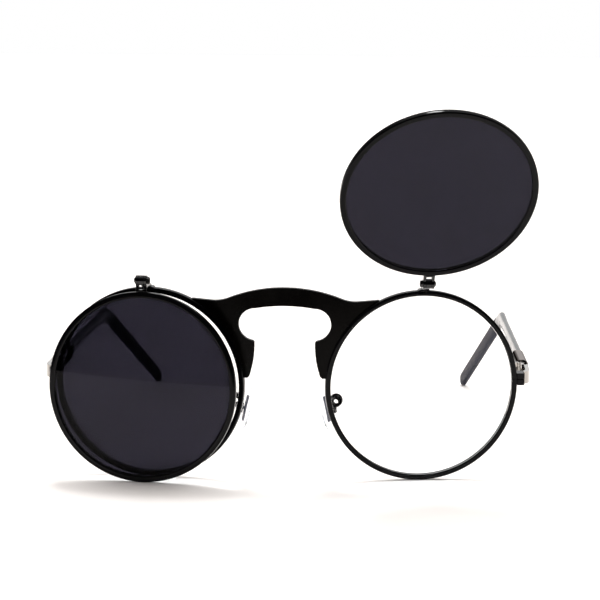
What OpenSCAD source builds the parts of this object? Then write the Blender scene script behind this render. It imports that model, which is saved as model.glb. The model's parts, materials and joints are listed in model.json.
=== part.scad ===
// Round metal flip up sunglasses, millimetres, +Z up, +Y towards the wearer's ears.
// The glasses stand on a table at Z = 0 on their two rims and their two temple tips.
// The left dark lens is closed over its clear lens and the right one is flipped up.
// Left is -X and right is +X. Every right piece is drawn once and mirrored for the left.

/* [Rims] */
// Outer radius of each main rim
rim_r = 25.1; // [24:0.05:25.5]
// Distance between the centres of the two main rims
rim_spread = 70.3; // [68:0.1:76]
// Width of the rim wire, seen from the front
rim_w = 1.4; // [1:0.1:1.8]
// Depth of the rim wire, front to back
rim_d = 2; // [1.7:0.1:2.6]
// Angle that each rim turns back from the middle, in degrees
wrap = 9.1; // [4:0.1:12]
// Angle that the rims lean, bottoms towards the face, in degrees
lean = 4.4; // [1:0.1:8]

/* [Lenses] */
// Thickness of the clear lenses
lens_t = 1.5; // [1.1:0.1:1.8]
// Thickness of the dark lenses
tint_t = 1.2; // [0.9:0.1:1.5]
// Radius of the curve that the lenses are ground to
lens_curve = 265; // [180:5:530]
// Depth of the groove that holds a lens in its rim
groove = 0.5; // [0.3:0.05:0.55]
// Play between a lens and its groove
lens_play = 0.03; // [0.02:0.01:0.06]

/* [Bridge] */
// Thickness of the bridge plate
plate_t = 1.2; // [0.9:0.1:1.7]
// Height of the top of the bridge above the tops of the rims
crown_up = 1.1; // [0.2:0.05:2.1]
// Radius of the arched top edge
crown_r = 36.6; // [34:0.2:40]
// Distance of the dip in the top edge from the middle
dip_x = 18.4; // [17.5:0.1:19.5]
// Depth of the dip below the tops of the rims
dip_down = 2.7; // [2.2:0.05:2.95]
// Depth of the ends of the top edge below the tops of the rims
wing_down = 2.45; // [1.8:0.05:2.6]
// Depth of the top of the keyhole below the tops of the rims
key_down = 3.65; // [3.3:0.05:4.5]
// Radius of the arched top of the keyhole
key_r = 40.8; // [36:0.2:48]
// Distance of each end of the keyhole from the middle
key_x = 7.6; // [7:0.1:8.2]
// Radius of each end of the keyhole
key_end_r = 4.25; // [3.9:0.05:4.4]
// Width of each leg at its top, out to the nearest point of the rim
leg_w = 2.3; // [1.9:0.05:3]
// Length of each leg below the keyhole
leg_len = 9.85; // [8.25:0.05:11.7]
// Radius of the inner edge of each leg
leg_r = 26.3; // [22:0.1:32]
// Size of the cut corners of the legs
leg_cut = 0.35; // [0.2:0.05:0.5]

/* [Flip lenses] */
// Difference in outer radius between the main rims and the rims of the dark lenses
flip_less = 0.35; // [0.1:0.05:1.8]
// Width of the dark lens rims, seen from the front
flip_w = 1.6; // [1.3:0.1:2]
// Depth of the dark lens rims, front to back
flip_d = 1.75; // [1.5:0.05:2]
// Height of the flip hinge above the tops of the main rims
flip_rise = 2.9; // [2.9:0.05:4]
// Distance of the flip hinge in front of the rims
flip_fwd = 6.4; // [5.6:0.1:7.5]
// Distance of a dark lens's rim from its hinge
flip_hang = 2.95; // [2.8:0.05:3.05]
// Angle of a closed dark lens to its rim, in degrees
flip_closed = 3.4; // [2:0.1:5]
// Angle of an open dark lens to its rim, in degrees
flip_open = 153.4; // [120:0.2:160]

/* [Flip hinges] */
// Radius of the flip hinge knuckles
barrel_r = 1.3; // [1.15:0.05:1.45]
// Width of the middle knuckle, which is on the bracket
barrel_w = 1.35; // [1.1:0.05:1.6]
// Thickness of each leg of the yoke
yoke_leg = 0.72; // [0.6:0.02:0.9]
// Thickness of the yoke, front to back
yoke_t = 1.15; // [0.9:0.05:1.4]
// Width of the foot of the bracket
foot_w = 3.7; // [3.3:0.1:4.4]
// Height of the foot of the bracket
foot_h = 1.25; // [1:0.05:1.6]
// Radius of the flip screw
flip_screw_r = 0.5; // [0.4:0.02:0.6]
// Radius of the head of the flip screw
flip_head_r = 0.95; // [0.8:0.05:1.1]
// Height of the head of the flip screw and of its nut
flip_head_h = 0.58; // [0.4:0.02:0.7]

/* [Endpieces] */
// Reach of the closing blocks beyond the rim
block_x = 1.9; // [1.8:0.1:2.6]
// Height of the two closing blocks together
block_h = 3.2; // [2.8:0.1:3.8]
// Depth of the closing blocks, front to back
block_d = 3.2; // [2.8:0.1:4]
// Height of the split between the blocks above the rim centre
split_z = 1.5; // [0.5:0.1:2.5]
// Radius of the screw that closes the rim
lock_screw_r = 0.4; // [0.3:0.05:0.4]

/* [Temple hinges] */
// Distance of the temple hinge outside the rim's outermost point
hinge_out = 1.35; // [1.1:0.05:2.1]
// Distance of the temple hinge behind the rim centres
hinge_back = 19.5; // [17.5:0.1:23]
// Height of the temple hinge above the rim centres
hinge_up = 1.7; // [0.8:0.1:2.4]
// Radius of the temple hinge knuckles
knuckle_r = 1.25; // [1.1:0.05:1.35]
// Height of the three knuckles of the temple hinge together
knuckle_h = 3.6; // [3.2:0.1:4]
// Thickness of the arm that carries the hinge
arm_t = 1.1; // [0.9:0.05:1.3]
// Distance of the outside of the arm from the hinge pin
arm_out = 1.9; // [1.8:0.05:2.1]
// Height of the arm
arm_h = 3.2; // [2.8:0.1:3.6]
// Radius of the bend in the arm, on the outside
arm_r = 7; // [6:0.5:9]
// Radius of the temple hinge screw
pin_r = 0.55; // [0.45:0.05:0.6]

/* [Temples] */
// Length of a temple from its hinge to its tip, along the curve
temple_len = 148.5; // [142:0.5:152]
// Angle that the temples close in towards the ears, in degrees
toe = 1.9; // [1:0.1:4]
// Angle that the temples rise from the hinge, in degrees
rise = 2.3; // [0.5:0.1:3]
// Angle of the bend over the ear, in degrees
bend = 28.2; // [26:0.2:36]
// Angle that the ear bend leans in towards the head, in degrees
bend_in = 14; // [6:0.5:20]
// Radius of the bend over the ear
bend_r = 12; // [9:0.5:20]
// Thickness of the metal bar
bar_t = 1.7; // [1.3:0.1:1.8]
// Height of the metal bar
bar_h = 3.4; // [2.8:0.1:3.7]
// Distance of the bar outside the hinge pin
bar_out = 1.2; // [1.1:0.02:1.26]
// Angle that the left temple is already folded in, in degrees
left_fold = 0.4; // [0:0.1:5]
// Length of the hinge box at the front of the temple
box_len = 16; // [12:0.5:20]
// Width of the hinge box
box_w = 3.1; // [3:0.05:3.4]
// Height of the hinge box
box_h = 4.3; // [4.1:0.1:4.8]
// Length of the plastic tip, along the curve
tip_cover = 76; // [66:1:90]
// Thickness of the plastic tip
tip_t = 2.3; // [2:0.1:2.6]
// Height of the plastic tip
tip_h = 4.4; // [4:0.1:4.8]
// Thickness of the wire core inside the plastic tip
core_t = 0.9; // [0.7:0.05:1.1]
// Height of the wire core inside the plastic tip
core_h = 1.8; // [1.4:0.1:2.2]

/* [Nose pads] */
// Distance of the pad screw from the middle
pad_x = 11.9; // [11.4:0.1:12.4]
// Distance of the pad screw behind the rim centres
pad_back = 3.8; // [3:0.1:6]
// Height of the pad screw above the rim centres, negative is below
pad_up = -7; // [-9:0.1:-5]
// Length of the pad
pad_len = 11; // [9.5:0.5:13]
// Width of the pad
pad_w = 6.5; // [5.5:0.25:7.5]
// Thickness of the pad
pad_t = 2; // [1.8:0.1:2.4]
// Angle that the tops of the pads lean together, in degrees
pad_frontal = 12; // [8:0.5:18]
// Angle that the backs of the pads spread apart, in degrees
pad_splay = 12; // [8:0.5:18]
// Radius of the wire of the pad arm
arm_wire_r = 0.42; // [0.36:0.02:0.48]
// Radius of the loop of the pad arm, at the middle of its wire
loop_r = 1.15; // [1:0.05:1.3]
// Radius of the pad screw
pad_screw_r = 0.35; // [0.3:0.02:0.4]

/* [Fits] */
// Film of braze between joined metal pieces
braze = 0.02; // [0.01:0.01:0.04]
// Running play of a pin in its bore
pin_play = 0.04; // [0.03:0.01:0.06]
// Play between the sides of hinge knuckles
side_play = 0.05; // [0.04:0.01:0.08]
// Slit that a closed rim keeps between its two ends
slit = 0.1; // [0.06:0.01:0.2]

/* [Hidden] */

left = -1;
right = 1;
eps = 0.01;
// Far enough to pass through any piece
past = 20;

// Facets of small, middle and large round shapes
$fn = 32;
ring_fn = 180;
curve_fn = 1440;

// Rim centres, which stand so high that the leaning rims just touch the table
rim_x = rim_spread / 2;
rim_z = rim_r * cos(lean) + rim_d / 2 * sin(lean);

// Heights of the bridge's edges above the rim centres, and half the gap between its legs
crown_z = rim_r + crown_up;
dip_z = rim_r - dip_down;
wing_z = rim_r - wing_down;
key_z = rim_r - key_down;
leg_x = rim_x - rim_r - leg_w;
// How far the keyhole's arch falls from its middle to its ends
key_drop = key_r - sqrt(key_r * key_r - key_x * key_x);
leg_top = key_z - 2 * key_end_r - key_drop;
leg_z = leg_top - leg_len;
// Centre of the arc of a leg's inner edge, and where that edge meets the foot
leg_c = leg_x + leg_r;
foot_x = leg_c - sqrt(leg_r * leg_r - (leg_len - 1) * (leg_len - 1));

// Where the flip hinges and the centres of the dark lenses are, above a rim's centre
flip_up = rim_r + flip_rise;
flip_r = rim_r - flip_less;
flip_reach = flip_r + flip_hang;

// Where the temple hinges are, before the part is centred front to back
hinge_x = rim_x + rim_r + hinge_out;
hinge_z = rim_z + hinge_up;

// The ear bend: the fall of its curve and the slope of the straight tip after it
bend_arc = bend_r * bend * PI / 180;
bend_fall = bend_r * (1 - cos(bend)) * cos(bend_in) * cos(rise) - bend_r * sin(bend) * sin(rise);
tip_slope = sin(bend) * cos(bend_in) * cos(rise) - cos(bend) * sin(rise);

// The straight tip reaches down to the table, and the bar takes up the rest of the length
along = temple_len - tip_h / 2 - bend_arc;
tip_len = (hinge_z + along * sin(rise) - bend_fall - tip_h / 2) / (tip_slope + sin(rise));
bar_len = along - tip_len;
// Where the plastic tip starts on the straight bar
tip_start = temple_len - tip_cover;

// Depth of a point of a rim's own frame, front to back, in the part's frame
function depth_of(p) = p.x * sin(wrap) + (p.y * cos(lean) - p.z * sin(lean)) * cos(wrap);

// Front of the open dark lens, and back of the temple tip, measured from the rim centres
open_y = -flip_fwd - flip_reach * sin(flip_open);
open_z = flip_up - flip_reach * cos(flip_open);
open_reach = norm([
    depth_of([1, 0, 0]),
    depth_of([0, sin(flip_open), cos(flip_open)])
]);
front_most = depth_of([0, open_y, open_z]) - flip_r * open_reach
    - flip_d / 2 * abs(depth_of([0, cos(flip_open), -sin(flip_open)]));
back_most = hinge_back
    + (bar_len + bend_r * sin(bend) + tip_len * cos(bend)) * cos(rise) * cos(toe)
    + (bend_r * (1 - cos(bend)) + tip_len * sin(bend)) * (cos(bend_in) * sin(rise) * cos(toe)
    - sin(bend_in) * sin(toe)) + tip_h / 2;
// The part's origin is halfway between the two
front_y = -(front_most + back_most) / 2;

// Flip hinge widths, all measured along the hinge from its middle
yoke_in = barrel_w / 2 + side_play;
yoke_out = yoke_in + yoke_leg;

// Temple hinge knuckles, one third of the height each
knuckle_third = knuckle_h / 3;
arm_x = hinge_x + arm_out;
box_mid = arm_out + 0.35 - box_w / 2;
// Front of the hinge box, behind the end of the arm
box_front = 0.2;
// Where the straight part of the arm starts, behind the rim centres
arm_start = 8.5;
// Head of the temple hinge screw
pin_head_r = 0.95;
pin_head_h = 0.45;
// Leaf of the temple's knuckle, which slides into the hinge box
leaf_t = 0.9;
leaf_len = 8;
// Depth of the bar's socket in the hinge box
socket = 4;

// Head of the screw that closes the rim
lock_head_r = 2 * lock_screw_r;
lock_head_h = 0.5;

// Ends of the plastic tip and of its wire core, along the temple's centre line
tip_end = bar_len + bend_arc + tip_len;
core_end = tip_end - 4;
// How far the straight stretches of a temple lap its bend
lap = 0.1;

// Pad box and insert, in the pad's own frame
box_depth = 1.1;
box_wall = 0.45;
insert_w = 1.3;
pad_box_h = 2.6;
// Plate that is moulded into the pad, from its screw: distance, thickness, width and height
plate = [-1.55, 0.45, 2.6, 4];
// Middle of the pad's thickness, from its screw
pad_mid = -1.75;

// Colours
black_paint = [0.06, 0.06, 0.065];
nickel = [0.74, 0.74, 0.72];
gunmetal = [0.3, 0.29, 0.29];
clear = [0.9, 0.93, 0.95, 0.25];
smoke = [0.14, 0.14, 0.17, 0.85];
silicone = [0.93, 0.94, 0.95, 0.6];

// Mirrors its children for the left side
module on_side(side) {
    if (side < 0) mirror([1, 0, 0]) children();
    else children();
}

// A rim's own frame: its centre, X along its width, Y back and Z up along its plane
module in_rim(side) {
    on_side(side) translate([rim_x, front_y, rim_z]) rotate([0, 0, wrap]) rotate([lean, 0, 0])
        children();
}

// A flip hinge's own frame: X along the hinge, the lens hangs along -Z
module in_flip(side) {
    angle = side < 0 ? flip_closed : flip_open;
    in_rim(side) translate([0, -flip_fwd, flip_up]) rotate([-angle, 0, 0]) children();
}

// A temple hinge's own frame, upright on its screw
module in_hinge(side) {
    on_side(side) translate([hinge_x, front_y + hinge_back, hinge_z]) children();
}

// A temple's own frame: it runs along +Y from the hinge screw
module in_temple(side) {
    in_hinge(side) rotate([0, 0, toe + (side < 0 ? left_fold : 0)]) rotate([rise, 0, 0]) children();
}

// A nose pad's own frame: its screw along Y, the pad on the -X side
module in_pad(side) {
    on_side(side) translate([pad_x, front_y + pad_back, rim_z + pad_up])
        rotate([0, -pad_frontal, -pad_splay]) children();
}

// Rectangle with round corners, centred
module round_rect(w, h, r) {
    square([w, h - 2 * r], center = true);
    square([w - 2 * r, h], center = true);
    for (x = [-1, 1], y = [-1, 1])
        translate([x * (w / 2 - r), y * (h / 2 - r)]) circle(r);
}

// Turns a profile drawn at its radius into a ring whose axis runs front to back
module front_ring() {
    rotate([90, 0, 0]) rotate_extrude($fn = ring_fn) children();
}

// A pin or bore along X, centred
module rod_x(r, len) {
    rotate([0, 90, 0]) cylinder(h = len, r = r, center = true);
}

// A pin or bore along Y, centred
module rod_y(r, len) {
    rotate([90, 0, 0]) cylinder(h = len, r = r, center = true);
}

// A straight wire between two points, with round ends that are a hair fuller
module wire(from, to, r) {
    run = to - from;
    ball_r = 1.04 * r;
    translate(from) {
        sphere(ball_r);
        rotate([0, acos(run.z / norm(run)), atan2(run.y, run.x)]) cylinder(h = norm(run), r = r);
    }
    translate(to) sphere(ball_r);
}

// V groove round the inside of a rim, or the bevel of a lens, up to radius r
module groove_profile(r, depth) {
    polygon([[r - depth - eps, -depth - eps], [r, 0], [r - depth - eps, depth + eps]]);
}

// A rim's cross-section: a wire with rounded faces and a groove for the lens
module rim_profile(outer, width, deep, r) {
    difference() {
        translate([outer - width / 2, 0]) round_rect(width, deep, r);
        groove_profile(outer - width + groove, groove);
    }
}

// A lens of radius r at its bevel, curved out towards the front
module lens(r, thick) {
    edge_r = r - groove;
    sag = lens_curve - sqrt(lens_curve * lens_curve - edge_r * edge_r);
    front_ring() intersection() {
        difference() {
            translate([0, thick / 2 + sag - lens_curve]) circle(lens_curve, $fn = curve_fn);
            translate([0, sag - thick / 2 - lens_curve]) circle(lens_curve, $fn = curve_fn);
        }
        union() {
            translate([0, -past / 2]) square([edge_r, past]);
            groove_profile(r, groove);
        }
    }
}

// Space taken by the main rim, to shape what is brazed on it
module rim_space(gap) {
    rod_y(rim_r + gap, past, $fn = ring_fn);
}

module rim(side) {
    color(black_paint) in_rim(side) difference() {
        front_ring() rim_profile(rim_r, rim_w, rim_d, rim_w / 2 - eps);
        translate([rim_r, 0, split_z]) cube([4 * rim_w, 2 * rim_d, slit], center = true);
    }
}

module clear_lens(side) {
    color(clear) in_rim(side) lens(rim_r - rim_w + groove - lens_play, lens_t);
}

// A thick slab whose outline is seen from the front
module slab() {
    rotate([90, 0, 0]) linear_extrude(height = past, center = true) children();
}

// The arched plate without its keyhole, flat, with the rim centres at height 0
module bridge_blank() {
    crown_c = crown_z - crown_r;
    fall = dip_z - crown_c;
    dip_r = (dip_x * dip_x + fall * fall - crown_r * crown_r) / (2 * (crown_r - fall));
    dip_c = dip_z + dip_r;
    meet = crown_r / (crown_r + dip_r);
    meet_x = dip_x * meet;
    meet_z = crown_c + (dip_c - crown_c) * meet;
    wing_x = rim_x - sqrt(rim_r * rim_r - wing_z * wing_z) - 0.3;
    slab() intersection() {
        translate([0, crown_c]) circle(crown_r, $fn = curve_fn / 2);
        translate([-meet_x, leg_z]) square([2 * meet_x, crown_z]);
    }
    for (s = [left, right]) on_side(s) slab() difference() {
        polygon([
            [meet_x - 1, leg_z], [meet_x - 1, meet_z - 1], [meet_x, meet_z - eps],
            [dip_x, meet_z - eps], [dip_x, dip_z - eps], [wing_x, wing_z], [wing_x, leg_z]
        ]);
        translate([dip_x, dip_c]) intersection() {
            circle(dip_r, $fn = curve_fn / 4);
            translate([-2 * dip_r, -2 * dip_r]) square([2 * dip_r, 4 * dip_r]);
        }
    }
}

// The keyhole and the gap between the two legs
module keyhole() {
    intersection() {
        translate([0, key_z - key_r]) circle(key_r, $fn = curve_fn / 2);
        translate([-key_x - 1, leg_top + key_end_r]) square([2 * key_x + 2, key_z]);
    }
    difference() {
        translate([-leg_c, leg_z - 1]) square([2 * leg_c, leg_top - leg_z + key_end_r + 2]);
        for (s = [-1, 1]) {
            translate([s * leg_c, leg_top - 1]) circle(leg_r, $fn = ring_fn);
            translate([s * leg_c - leg_r / 2, leg_z - 2]) square([leg_r, past]);
        }
    }
    for (s = [0, 1]) mirror([s, 0]) {
        translate([key_x, leg_top + key_end_r]) circle(key_end_r, $fn = ring_fn);
        // Cut corners at the top and the foot of a leg
        translate([leg_x, leg_top])
            polygon([[-0.3, -leg_cut - 0.3], [leg_cut + 0.3, 0.3], [-0.3, 0.3]]);
        translate([foot_x, leg_z])
            polygon([[-1, -0.5], [leg_cut + 0.5, -0.5], [-1, leg_cut + 1]]);
    }
}

// The bridge is cut from sheet bent to an arc, which lies along both rims where it meets them
module bridge_plate() {
    meet_x = (rim_x - rim_r + rim_x) / 3;
    arc_r = meet_x / sin(wrap);
    arc_y = arc_r * cos(wrap) - (rim_x - meet_x) * tan(wrap);
    color(black_paint) difference() {
        translate([0, front_y, rim_z]) rotate([lean, 0, 0]) difference() {
            intersection() {
                bridge_blank();
                translate([0, arc_y, 0])
                    cylinder(h = 4 * rim_r, r = arc_r + plate_t / 2, center = true, $fn = curve_fn);
            }
            translate([0, arc_y, 0])
                cylinder(h = 4 * rim_r, r = arc_r - plate_t / 2, center = true, $fn = curve_fn);
            slab() keyhole();
        }
        in_rim(left) rim_space(braze);
        in_rim(right) rim_space(braze);
    }
}

// Both closing blocks as one, on the outer end of the rim
module block_pair() {
    top = split_z + block_h / 2;
    difference() {
        translate([rim_r - 1, -rim_d / 2, top - block_h]) cube([block_x + 1, block_d, block_h]);
        rim_space(braze);
    }
}

// The screw axis of the closing blocks
module at_lock_screw() {
    translate([rim_r + block_x / 2 + 0.05, block_d / 2 - rim_d / 2, split_z]) children();
}

module endpiece(side) {
    color(black_paint) in_rim(side) difference() {
        intersection() {
            block_pair();
            translate([0, -past / 2, split_z + slit / 2]) cube(past * 2);
        }
        at_lock_screw() cylinder(h = block_h / 2 - 0.3, r = lock_screw_r + braze);
    }
}

module closing_block(side) {
    color(black_paint) in_rim(side) difference() {
        intersection() {
            block_pair();
            translate([0, -past / 2, split_z - slit / 2 - 2 * past]) cube(past * 2);
        }
        at_lock_screw() {
            cylinder(h = block_h, r = lock_screw_r + braze, center = true);
            translate([0, 0, -block_h / 2 - eps])
                cylinder(h = lock_head_h + braze, r = lock_head_r + braze);
        }
    }
}

module closing_screw(side) {
    color(nickel) in_rim(side) at_lock_screw() difference() {
        union() {
            translate([0, 0, -block_h / 2])
                cylinder(h = block_h - 0.4, r = lock_screw_r);
            translate([0, 0, -block_h / 2]) cylinder(h = lock_head_h, r = lock_head_r);
        }
        translate([0, 0, -block_h / 2]) cube([past, 0.2, 0.36], center = true);
    }
}

// Side view of the bracket: a foot on the rim and an arm that rises forward to the knuckle
module flip_bracket(side) {
    top = rim_r + foot_h;
    color(black_paint) in_rim(side) difference() {
        union() {
            // Foot, narrower at its top
            translate([0, rim_d / 2, 0]) rotate([90, 0, 0]) linear_extrude(height = rim_d)
                polygon([
                    [-foot_w / 2, rim_r - 1], [foot_w / 2, rim_r - 1], [foot_w / 2, rim_r + 0.2],
                    [yoke_out, top], [-yoke_out, top], [-foot_w / 2, rim_r + 0.2]
                ]);
            // Arm and knuckle
            translate([-barrel_w / 2, 0, 0]) rotate([90, 0, 90]) linear_extrude(height = barrel_w) {
                polygon([
                    [rim_d / 2, rim_r + 0.2], [rim_d / 2, top], [-flip_fwd, flip_up + barrel_r - 0.25],
                    [-flip_fwd, flip_up - barrel_r + 0.35], [-rim_d / 2, rim_r + 0.2]
                ]);
                translate([-flip_fwd, flip_up]) circle(barrel_r);
            }
        }
        rim_space(braze);
        translate([0, -flip_fwd, flip_up]) rod_x(flip_screw_r + pin_play, past);
    }
}

module flip_rim(side) {
    color(black_paint) in_flip(side) translate([0, 0, -flip_reach]) front_ring()
        rim_profile(flip_r, flip_w, flip_d, 0.45);
}

module dark_lens(side) {
    color(smoke) in_flip(side) translate([0, 0, -flip_reach])
        lens(flip_r - flip_w + groove - lens_play, tint_t);
}

// Two legs with outer knuckles, joined by a bar on top of the dark lens's rim
module flip_yoke(side) {
    ring_top = flip_reach - flip_r;
    bar = 0.55;
    color(black_paint) in_flip(side) difference() {
        union() {
            for (s = [-1, 1]) translate([s * (yoke_in + yoke_leg / 2), 0, 0]) {
                rod_x(barrel_r, yoke_leg);
                translate([-yoke_leg / 2, -yoke_t / 2, -ring_top - 0.2])
                    cube([yoke_leg, yoke_t, ring_top]);
            }
            translate([-yoke_out, -yoke_t / 2, -ring_top - 0.2])
                cube([2 * yoke_out, yoke_t, bar + 0.2]);
        }
        rod_x(flip_screw_r + braze, past);
        translate([0, 0, -flip_reach]) rod_y(flip_r + braze, past, $fn = ring_fn);
    }
}

// Screw along the flip hinge, its domed head on the outer side and its end in the nut
module flip_screw(side) {
    dome_r = (flip_head_r * flip_head_r + flip_head_h * flip_head_h) / (2 * flip_head_h);
    under = yoke_out + braze;
    end = yoke_out + braze + flip_head_h + 0.1;
    color(nickel) in_flip(side) difference() {
        rotate([0, 90, 0]) rotate_extrude() {
            translate([0, -end]) square([flip_screw_r, end + under + eps]);
            intersection() {
                translate([0, under + flip_head_h - dome_r]) circle(dome_r, $fn = ring_fn);
                translate([0, under]) square(past);
            }
        }
        translate([under + flip_head_h, 0, 0]) cube([0.36, past, 0.22], center = true);
    }
}

module flip_nut(side) {
    color(nickel) in_flip(side) difference() {
        translate([-yoke_out - braze - flip_head_h, 0, 0]) rotate([0, 90, 0])
            cylinder(h = flip_head_h, r = flip_head_r, $fn = 6);
        rod_x(flip_screw_r + braze, past);
    }
}

// The arm that runs back from the closing block to the two outer knuckles
module hinge_arm(side) {
    sweep = 55;
    straight = hinge_back - arm_start;
    color(nickel) difference() {
        in_hinge(side) difference() {
            union() {
                translate([0, -straight, -arm_h / 2]) linear_extrude(height = arm_h) {
                    translate([arm_out - arm_t, 0]) square([arm_t, straight]);
                    translate([arm_out - arm_r, 0]) intersection() {
                        difference() {
                            circle(arm_r, $fn = ring_fn);
                            circle(arm_r - arm_t, $fn = ring_fn);
                        }
                        polygon([[0, 0], [2 * arm_r, 0], [2 * arm_r, -2 * arm_r * tan(sweep)]]);
                    }
                }
                for (s = [-1, 1]) translate([0, 0, s * knuckle_third]) {
                    cylinder(h = knuckle_third, r = knuckle_r, center = true);
                    translate([0, -4, -knuckle_third / 2])
                        cube([arm_out - arm_t + eps, 4, knuckle_third]);
                }
            }
            // Room for the middle knuckle
            cylinder(h = knuckle_third + 2 * side_play, r = knuckle_r + 2 * side_play, center = true);
            cylinder(h = past, r = pin_r + braze, center = true);
            translate([0, 0, knuckle_h / 2 - pin_head_h]) cylinder(h = 1, r = pin_head_r + braze);
            // Round corner between the leaf and the side of the arm
            translate([-knuckle_r - 0.4, -4, 0]) cylinder(h = past, r = 1.9, center = true);
        }
        in_rim(side) block_room();
    }
}

// Space of the closing blocks, to shape the arm that is brazed on them
module block_room() {
    top = split_z + block_h / 2;
    translate([rim_r - 3, -rim_d / 2 - 3, top - block_h - 2])
        cube([block_x + 3 + braze, block_d + 3 + braze, block_h + 4]);
}

module hinge_screw(side) {
    color(nickel) in_hinge(side) difference() {
        union() {
            translate([0, 0, -knuckle_h / 2]) cylinder(h = knuckle_h - pin_head_h / 2, r = pin_r);
            translate([0, 0, knuckle_h / 2 - pin_head_h + braze])
                cylinder(h = pin_head_h, r = pin_head_r);
        }
        translate([0, 0, knuckle_h / 2 + braze]) cube([past, 0.25, 0.4], center = true);
    }
}

// Middle knuckle with the leaf that slides into the hinge box
module temple_hinge(side) {
    color(nickel) difference() {
        union() {
            in_hinge(side) cylinder(h = knuckle_third, r = knuckle_r, center = true);
            in_temple(side) translate([-leaf_t / 2, 0, -knuckle_third / 2 + 0.04])
                cube([leaf_t, leaf_len, knuckle_third - 0.08]);
        }
        in_hinge(side) cylinder(h = past, r = pin_r + pin_play, center = true);
    }
}

// Upright cross-section along the temple, from one distance to another
module along_temple(start, len) {
    translate([0, start, 0]) rotate([-90, 0, 0]) linear_extrude(height = len) children();
}

// The hinge box: a cuff with a slot for the leaf, a socket for the bar and a lip over the hinge
module hinge_box(side) {
    clear_r = knuckle_r + 0.3;
    color(gunmetal) difference() {
        in_temple(side) difference() {
            translate([box_mid, 0, 0]) along_temple(box_front, box_len - box_front)
                round_rect(box_w, box_h, 1.1);
            translate([-past + clear_r - 0.3, -1, -past / 2]) cube([past, clear_r + 1, past]);
            along_temple(0, leaf_len + braze) square([leaf_t, knuckle_third - 0.08] + [1, 1] * 2 * braze,
                center = true);
            translate([bar_out, 0, 0]) along_temple(box_len - socket, socket + 1)
                stadium(bar_t + 2 * braze, bar_h + 2 * braze);
        }
        in_hinge(side) cylinder(h = past, r = clear_r, center = true);
    }
}

// A flat bar's cross-section with round top and bottom, thickness w along X
module stadium(w, h) {
    square([w, h - w], center = true);
    for (s = [-1, 1]) translate([0, s * (h - w) / 2]) circle(w / 2);
}

// The frame of the ear bend, where the straight bar ends: the bend falls along its -Z
module at_bend() {
    translate([bar_out, bar_len, 0]) rotate([0, bend_in, 0]) children();
}

// The straight tip's own frame, after the bend
module at_tip() {
    at_bend() translate([0, bend_r * sin(bend), -bend_r * (1 - cos(bend))]) rotate([-bend, 0, 0])
        rotate([0, -bend_in, 0]) children();
}

// Sweeps a cross-section along the temple's centre line, round the bend and down the tip.
// The straight stretches lap the bend, which is a hair slimmer.
module temple_sweep(start, stop) {
    translate([bar_out, 0, 0]) along_temple(start, bar_len - start + lap) children();
    at_bend() translate([0, 0, -bend_r]) rotate([0, -90, 0])
        rotate_extrude(angle = bend, $fn = ring_fn)
            translate([bend_r, 0]) rotate(90 + bend_in) scale(0.997) children();
    at_tip() along_temple(-lap, stop - bar_len - bend_arc + lap) children();
}

// The metal bar, which carries on inside the plastic tip as a thinner core
module temple_bar(side) {
    color(black_paint) in_temple(side) {
        translate([bar_out, 0, 0])
            along_temple(box_len - socket + braze, tip_start - box_len + socket - braze)
                stadium(bar_t, bar_h);
        temple_sweep(tip_start - eps, core_end) stadium(core_t, core_h);
    }
}

// The plastic tip, rounded at its end, with a hollow for the core
module temple_tip(side) {
    bead = tip_t / 2;
    color(black_paint) in_temple(side) difference() {
        union() {
            temple_sweep(tip_start + braze, tip_end) stadium(tip_t, tip_h);
            at_tip() translate([0, tip_len, 0]) rotate([0, 90, 0]) rotate_extrude($fn = ring_fn) {
                translate([0, -bead]) square([tip_h / 2 - bead, tip_t]);
                intersection() {
                    translate([tip_h / 2 - bead, 0]) circle(bead);
                    translate([0, -tip_h]) square([tip_h, 2 * tip_h]);
                }
            }
        }
        temple_sweep(tip_start - 1, core_end + braze)
            stadium(core_t + 2 * braze, core_h + 2 * braze);
    }
}

// The gooseneck: a foot on the back of the rim, a loop and a tail to the pad box
module pad_arm(side) {
    foot_z = -3.4;
    foot_x = rim_x - (rim_r - rim_w / 2) * cos(wrap);
    foot_y = -(rim_r - rim_w / 2) * sin(wrap) + rim_d / 2;
    loop = [pad_x + 1.3, pad_back - 1.4, pad_up + 1.3];
    color(black_paint) on_side(side) translate([0, front_y, rim_z]) difference() {
        union() {
            wire([foot_x + 0.3, foot_y - 0.7, foot_z], [foot_x + 0.3, foot_y + 0.8, foot_z], 0.55);
            wire([foot_x + 0.3, foot_y + 0.8, foot_z],
                loop + loop_r * [cos(135), 0, sin(135)], arm_wire_r);
            translate(loop) rotate([90, 0, 0]) rotate([0, 0, -165]) rotate_extrude(angle = 300)
                translate([loop_r, 0]) circle(arm_wire_r, $fn = 24);
            wire(loop + loop_r * [cos(-165), 0, sin(-165)],
                [pad_x + 0.9, pad_back, pad_up], arm_wire_r);
        }
        // The foot stops at the back of the rim
        translate([rim_x, 0, 0]) rotate([0, 0, wrap]) rotate([lean, 0, 0])
            translate([-2 * rim_r, rim_d / 2 + braze - past, -rim_r]) cube([4 * rim_r, past, 2 * rim_r]);
        translate([pad_x, pad_back, pad_up]) rotate([0, -pad_frontal, -pad_splay])
            pad_box_room();
    }
}

// Space of the pad box, to shape the arm that is brazed on it
module pad_box_room() {
    translate([-2, -insert_w / 2 - box_wall - braze, -pad_box_h / 2 - braze])
        cube([2 + box_depth / 2 + box_wall + braze, insert_w + 2 * box_wall + 2 * braze,
            pad_box_h + 2 * braze]);
}

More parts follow.
